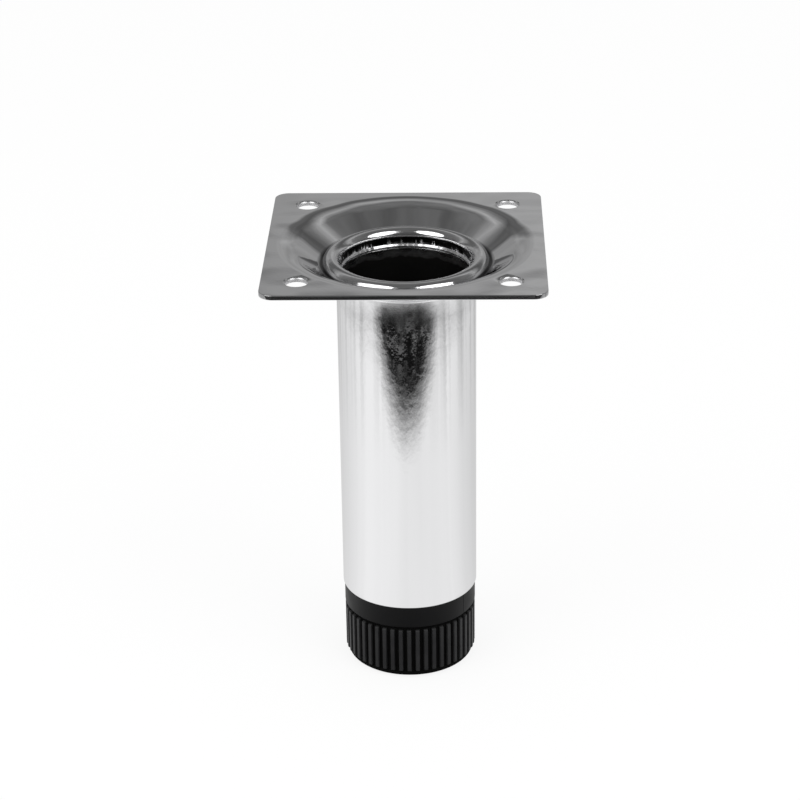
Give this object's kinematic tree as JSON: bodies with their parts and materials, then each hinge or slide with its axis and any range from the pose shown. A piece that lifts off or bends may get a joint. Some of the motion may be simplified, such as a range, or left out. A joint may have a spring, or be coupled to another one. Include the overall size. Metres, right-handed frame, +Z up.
{
  "type": "cabinet leg",
  "caption": "Straight round furniture leg: chromed steel tube curled into a dished square screw plate, with a black ribbed foot that screws out for levelling.",
  "frame": {"origin": "centre of the foot on the floor, with the foot screwed right in", "axes": "+Z up along the tube to the mounting plate, -Y towards the viewer of the picture"},
  "size_m": [0.059, 0.059, 0.099],
  "materials": {
    "chromed_steel": "bright chrome plating on cold-rolled steel",
    "black_plastic": "satin injection moulding, dyed black",
    "zinc_plated_steel": "clear zinc plating"
  },
  "bodies": {
    "leg": {"mounting_plate": "chromed_steel", "leg_tube": "chromed_steel", "tube_insert": "black_plastic", "insert_nut": "zinc_plated_steel"},
    "spindle": {"foot_spindle": "zinc_plated_steel"},
    "foot": {"foot_knob": "black_plastic"}
  },
  "joints": [
    {"name": "foot_travel", "type": "slide", "parent": "leg", "child": "spindle", "axis": [0, 0, -1], "range_m": [0, 0.015]},
    {"name": "foot_turn", "type": "hinge", "parent": "spindle", "child": "foot", "pos_m": [0, 0, 0], "axis": [0, 0, -1], "range_deg": [0, 4320]}
  ],
  "couplings": [
    {"joint": "foot_travel", "follows": "foot_turn", "m_per_rad": 0.00019894}
  ]
}
